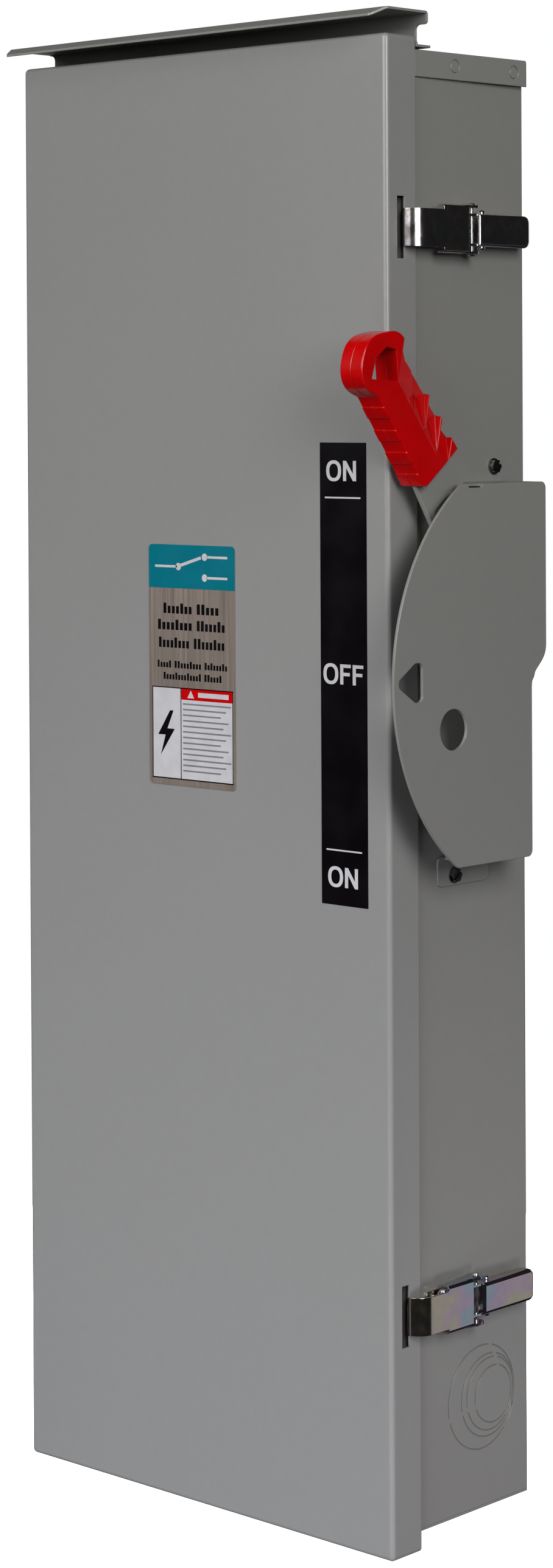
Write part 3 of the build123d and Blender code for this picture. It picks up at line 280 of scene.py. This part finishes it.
# Outlines are in mm from the middle of the face that they are printed on, x right and z up.
WELD_DISTANCE = 0.000001


def mark(name, outlines, on_node, slot, lift_mm=0.06, ink=None):
    """Thin raised print on a node of the door, in its slot's material unless an ink is named."""
    low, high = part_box(on_node)
    centre = Vector(((low.x + high.x) / 2, low.y, (low.z + high.z) / 2))
    sheet = bmesh.new()
    for outline in outlines:
        corners = [sheet.verts.new(centre + Vector((x * MM, 0, z * MM))) for x, z in outline]
        sheet.faces.new(corners)
    bmesh.ops.remove_doubles(sheet, verts=sheet.verts, dist=WELD_DISTANCE)
    bmesh.ops.recalc_face_normals(sheet, faces=sheet.faces)
    front = bmesh.ops.extrude_face_region(sheet, geom=list(sheet.faces))
    raised = [v for v in front["geom"] if isinstance(v, bmesh.types.BMVert)]
    bmesh.ops.translate(sheet, verts=raised, vec=(0, -lift_mm * MM, 0))
    bmesh.ops.recalc_face_normals(sheet, faces=sheet.faces)
    mesh = bpy.data.meshes.new(name)
    sheet.to_mesh(mesh)
    sheet.free()
    mesh.materials.append(MATERIALS[ink or slot])
    piece = bpy.data.objects.new(name, mesh)
    bpy.context.scene.collection.objects.link(piece)
    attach(piece, "door")


def bar(x, z, width, height):
    """Rectangle centred at x, z."""
    left, right, low, high = x - width / 2, x + width / 2, z - height / 2, z + height / 2
    return [(left, low), (right, low), (right, high), (left, high)]


def disc(x, z, radius, steps=24):
    """Round dot centred at x, z."""
    angles = [2 * math.pi * i / steps for i in range(steps)]
    return [(x + radius * math.cos(a), z + radius * math.sin(a)) for a in angles]


def stroke(x0, z0, x1, z1, width):
    """Straight line of that width."""
    along = Vector((x1 - x0, z1 - z0)).normalized() * width / 2
    dx, dz = -along.y, along.x
    return [(x0 + dx, z0 + dz), (x0 - dx, z0 - dz), (x1 - dx, z1 - dz), (x1 + dx, z1 + dz)]


def frame_of(x, z, width, height, line):
    """Rectangular border as four bars."""
    return [
        bar(x, z + (height - line) / 2, width, line),
        bar(x, z - (height - line) / 2, width, line),
        bar(x + (width - line) / 2, z, line, height - 2 * line),
        bar(x - (width - line) / 2, z, line, height - 2 * line),
    ]


# Letters of the handle positions
LETTER_H = 12.0
O_W = 11.9
O_H = LETTER_H + 0.5
O_SQUARENESS = 0.86
N_W = 10.3
N_DROP = 4.2
F_W = 8.4
F_ARM_Z = 1.1
F_ARM_SHORTER = 0.8
STEM = 2.5
CROSS = 2.0


def letter_o(left, z, steps=40):
    """Slightly square oval ring, as quads."""
    outer, inner = [], []
    for i in range(steps):
        a = 2 * math.pi * i / steps
        ex = math.copysign(abs(math.cos(a)) ** O_SQUARENESS, math.cos(a))
        ez = math.copysign(abs(math.sin(a)) ** O_SQUARENESS, math.sin(a))
        x = left + O_W / 2
        outer.append((x + ex * O_W / 2, z + ez * O_H / 2))
        inner.append((x + ex * (O_W / 2 - STEM), z + ez * (O_H / 2 - CROSS)))
    return [[outer[i - 1], outer[i], inner[i], inner[i - 1]] for i in range(steps)]


def letter_n(left, z):
    """N with upright stems and a slanting bar."""
    low, high, right = z - LETTER_H / 2, z + LETTER_H / 2, left + N_W
    return [[
        (left, low), (left, high), (left + STEM, high),
        (right - STEM, low + N_DROP), (right - STEM, high),
        (right, high), (right, low), (right - STEM, low),
        (left + STEM, high - N_DROP), (left + STEM, low),
    ]]


def letter_f(left, z):
    """F with a shorter middle arm."""
    low, high, middle = z - LETTER_H / 2, z + LETTER_H / 2, z + F_ARM_Z
    arm = left + F_W - F_ARM_SHORTER
    return [[
        (left, low), (left, high), (left + F_W, high), (left + F_W, high - CROSS),
        (left + STEM, high - CROSS), (left + STEM, middle), (arm, middle),
        (arm, middle - CROSS), (left + STEM, middle - CROSS), (left + STEM, low),
    ]]


# Heights of the ON words and of the rules that part them from OFF
ON_HEIGHTS = (120.6, -120.6)
RULE_HEIGHTS = (104.7, -104.7)


def position_marks():
    """ON, OFF and ON, with a rule inside each ON, measured from the label's centre."""
    outlines = []
    for z in ON_HEIGHTS:
        outlines += letter_o(-13.3, z) + letter_n(0.1, z)
    outlines += letter_o(-16.3, 0) + letter_f(-2.9, 0) + letter_f(7.0, 0)
    for z in RULE_HEIGHTS:
        outlines.append(bar(-0.4, z, 28.2, 0.95))
    mark("position_lettering", outlines, "position_label", "panel_white")


SHORT_BLOCK = 0.72
BLOCK_FILL = 0.66
WORD_GAP = 0.9


def word_row(left, right, z, height, words, pitch):
    """A row of small blocks that stands for a line of print; words are relative lengths."""
    outlines = []
    span = (right - left) / sum(words)
    x = left
    for order, share in enumerate(words):
        end = x + share * span - pitch * WORD_GAP
        count = max(1, round((end - x) / pitch))
        step = (end - x) / count
        for i in range(count):
            tall = i == 0 or (i * 5 + order * 3) % 4 == 0
            full = height if tall else height * SHORT_BLOCK
            middle = x + (i + 0.5) * step
            outlines.append(bar(middle, z - (height - full) / 2, step * BLOCK_FILL, full))
        x += share * span
    return outlines


# Rows on the bare plate: left, right, height of the middle, block height, words, block pitch
PLATE_ROWS = (
    (-25.0, 26.8, 35.2, 6.4, (5, 4), 3.6),
    (-29.9, 31.9, 25.0, 6.4, (6, 5), 3.6),
    (-29.1, 31.6, 13.9, 6.4, (6, 6), 3.6),
    (-30.2, 32.8, 0.4, 4.4, (4, 7, 6), 2.6),
    (-25.0, 28.0, -6.9, 4.4, (10, 5), 2.6),
)


def plate_print():
    """Generic stand-ins for the nameplate's print."""
    outlines = []
    for row in PLATE_ROWS:
        outlines += word_row(*row)
    mark("plate_rows", outlines, "nameplate", "label_black")


DIAGRAM_LINE = 1.5
DIAGRAM_DOT = 2.3
THROW_HEIGHT = 6.4


def band_symbol():
    """Switch diagram in white: a pivot, a blade and two throws."""
    outlines = [
        bar(-22.0, 0, 19.0, DIAGRAM_LINE),
        disc(-11.2, 0, DIAGRAM_DOT),
        stroke(-9.3, 0.8, 8.2, 5.9, DIAGRAM_LINE * 1.25),
    ]
    for z in (THROW_HEIGHT, -THROW_HEIGHT):
        outlines += [disc(11.4, z, DIAGRAM_DOT), bar(22.0, z, 17.6, DIAGRAM_LINE)]
    mark("band_diagram", outlines, "colour_band", "panel_white")


# Warning panel
PANEL = "warning_panel"
PANEL_W = 69.7
PANEL_H = 57.2
HEADING_Z = 24.7
TRIANGLE = ((-4.2, 22.4), (1.6, 22.4), (-1.3, 27.2))
BOLT = ((-19.4, 14.0), (-29.8, -1.4), (-23.4, -1.4), (-27.6, -14.0), (-15.4, 2.6), (-21.8, 2.6),
        (-16.4, 14.0))
HEADING_LIFT_MM = 0.11
PRINT_LINES = 13
PRINT_TOP = 18.6
PRINT_PITCH = 3.45
PRINT_LEFT = -8.2
PRINT_RIGHT = 33.0


def panel_print():
    """Generic safety panel: red heading with a triangle, a bolt and rows of grey lines."""
    border = frame_of(0, 0, PANEL_W, PANEL_H, 0.7) + [bar(-9.95, 0, 0.6, 55.8)]
    mark("panel_border", border, PANEL, "label_black")
    mark("panel_heading", [bar(12.35, HEADING_Z, 43.8, 7.0)], PANEL, "grip_red")
    sign = [TRIANGLE, bar(18.0, HEADING_Z, 26.0, 3.0)]
    mark("panel_heading_sign", sign, PANEL, "panel_white", HEADING_LIFT_MM)
    mark("panel_bolt", [BOLT], PANEL, "label_black")
    rows = []
    for i in range(PRINT_LINES):
        right = PRINT_RIGHT - (i * 7 % 5) * 2.2
        middle = (right + PRINT_LEFT) / 2
        rows.append(bar(middle, PRINT_TOP - i * PRINT_PITCH, right - PRINT_LEFT, 1.0))
    mark("panel_rows", rows, PANEL, "label_black", ink="small_print")


position_marks()
plate_print()
band_symbol()
panel_print()

# ---------------------------------------------------------------- camera, lights and floor

CAMERA_PLACE = Vector((1.4351, -1.6036, 0.2341))
CAMERA_YAW = math.radians(42.91)
CAMERA_PITCH = math.radians(-0.749)
CAMERA_ROLL = math.radians(-0.292)
SENSOR_WIDTH = 36.0
FOCAL_LENGTH = 76.66
FRAME_SHIFT = -0.2178


def add_camera():
    """Camera at the photograph's viewing angle, its frame shifted down as a shift lens does."""
    lens = bpy.data.cameras.new("Camera")
    lens.sensor_width = SENSOR_WIDTH
    lens.lens = FOCAL_LENGTH
    lens.shift_y = FRAME_SHIFT
    camera = bpy.data.objects.new("Camera", lens)
    bpy.context.scene.collection.objects.link(camera)
    level = math.cos(CAMERA_PITCH)
    ahead = Vector((
        -math.sin(CAMERA_YAW) * level,
        math.cos(CAMERA_YAW) * level,
        math.sin(CAMERA_PITCH),
    ))
    right = Vector((math.cos(CAMERA_YAW), math.sin(CAMERA_YAW), 0))
    up = right.cross(ahead)
    side = math.cos(CAMERA_ROLL) * right + math.sin(CAMERA_ROLL) * up
    top = -math.sin(CAMERA_ROLL) * right + math.cos(CAMERA_ROLL) * up
    turn = Matrix((side, top, -ahead)).transposed().to_4x4()
    camera.matrix_world = Matrix.Translation(CAMERA_PLACE) @ turn
    bpy.context.scene.camera = camera


def softbox(name, place, aim, size, power, colour=WHITE, spread=180, mirrored=True):
    """Rectangular studio light, aimed at a point; spread is its beam angle in degrees.

    An unmirrored one lights the paint without showing in bright metal.
    """
    lamp = bpy.data.lights.new(name, "AREA")
    lamp.spread = math.radians(spread)
    lamp.shape = "RECTANGLE"
    lamp.size, lamp.size_y = size
    lamp.energy = power
    lamp.color = colour
    light = bpy.data.objects.new(name, lamp)
    light.location = place
    light.visible_glossy = mirrored
    light.rotation_euler = (Vector(aim) - Vector(place)).to_track_quat("-Z", "Y").to_euler()
    bpy.context.scene.collection.objects.link(light)


MIDDLE = (0.0, -0.06, 0.0)
CARD = (0.8, 0.5)
WARM_CARD = (0.95, 0.88, 1.0)
COOL_CARD = (0.86, 0.90, 1.0)
PALE_CARD = (0.95, 0.96, 1.0)
FILL_STRENGTH = 0.012
FLOOR_HALF = 3.0
FLOOR_DROP = 0.45


def add_lights():
    """Softboxes, reflector cards low at the front, side and back, and a rim strip."""
    softbox("KeyLight", (-0.05, -2.6, 1.15), MIDDLE, (2.2, 1.1), 50.5)
    softbox("SideLight", (2.6, -1.2, 1.15), MIDDLE, (1.2, 1.7), 58.5)
    softbox(
        "LowCardFront", (0.35, -1.7, -0.9), (0.0, -0.13, -0.46), (0.9, 0.5), 1.85, COOL_CARD,
        spread=55, mirrored=False,
    )
    softbox(
        "LowCardSide", (1.6, -0.25, -1.0), (0.16, -0.06, -0.50), CARD, 0.42, WARM_CARD,
        spread=34, mirrored=False,
    )
    softbox(
        "LowCardBack", (1.05, 0.95, -0.60), (0.16, -0.06, -0.40), CARD, 0.048, PALE_CARD,
        spread=60,
    )
    softbox("RimStrip", (0.62, 2.1, 0.30), (0.16, -0.10, 0.20), (0.25, 1.0), 1.2)
    softbox("BackLight", (-1.6, 2.0, -0.25), MIDDLE, (1.6, 1.2), 90.0, mirrored=False)


def add_surroundings():
    """White to the camera, and only a weak fill to everything else."""
    world = bpy.data.worlds.new("Studio")
    bpy.context.scene.world = world
    world.use_nodes = True
    nodes, links = world.node_tree.nodes, world.node_tree.links
    lighting = nodes["Background"]
    lighting.inputs["Color"].default_value = (*WHITE, 1.0)
    lighting.inputs["Strength"].default_value = FILL_STRENGTH
    backdrop = nodes.new("ShaderNodeBackground")
    backdrop.inputs["Color"].default_value = (*WHITE, 1.0)
    seen = nodes.new("ShaderNodeLightPath")
    chosen = nodes.new("ShaderNodeMixShader")
    links.new(seen.outputs["Is Camera Ray"], chosen.inputs[0])
    links.new(lighting.outputs[0], chosen.inputs[1])
    links.new(backdrop.outputs[0], chosen.inputs[2])
    links.new(chosen.outputs[0], nodes["World Output"].inputs["Surface"])


def add_floor():
    """Plain pale floor, below the box because it hangs on a wall."""
    floor_mesh = bpy.data.meshes.new("Floor")
    height = cad_box[0].z - FLOOR_DROP
    signs = ((-1, -1), (1, -1), (1, 1), (-1, 1))
    corners = [(FLOOR_HALF * x, FLOOR_HALF * y, height) for x, y in signs]
    floor_mesh.from_pydata(corners, [], [(0, 1, 2, 3)])
    floor = bpy.data.objects.new("Floor", floor_mesh)
    bpy.context.scene.collection.objects.link(floor)
    floor.visible_diffuse = False
    floor.visible_glossy = False
    floor.visible_shadow = False
    g = Graph("FloorPale")
    g.set(Emission_Color=(*WHITE, 1.0), Emission_Strength=1.0)
    tone = g.ramp(g.noise(2.0, 2.0), (0.3, (0.84, 0.84, 0.85)), (0.7, (0.88, 0.88, 0.89)))
    floor_mesh.materials.append(g.finish(tone, g.scaled(g.noise(5.0), 0.7, 0.85)))


add_camera()
add_lights()
add_surroundings()
add_floor()
bpy.context.scene.view_settings.view_transform = "Standard"
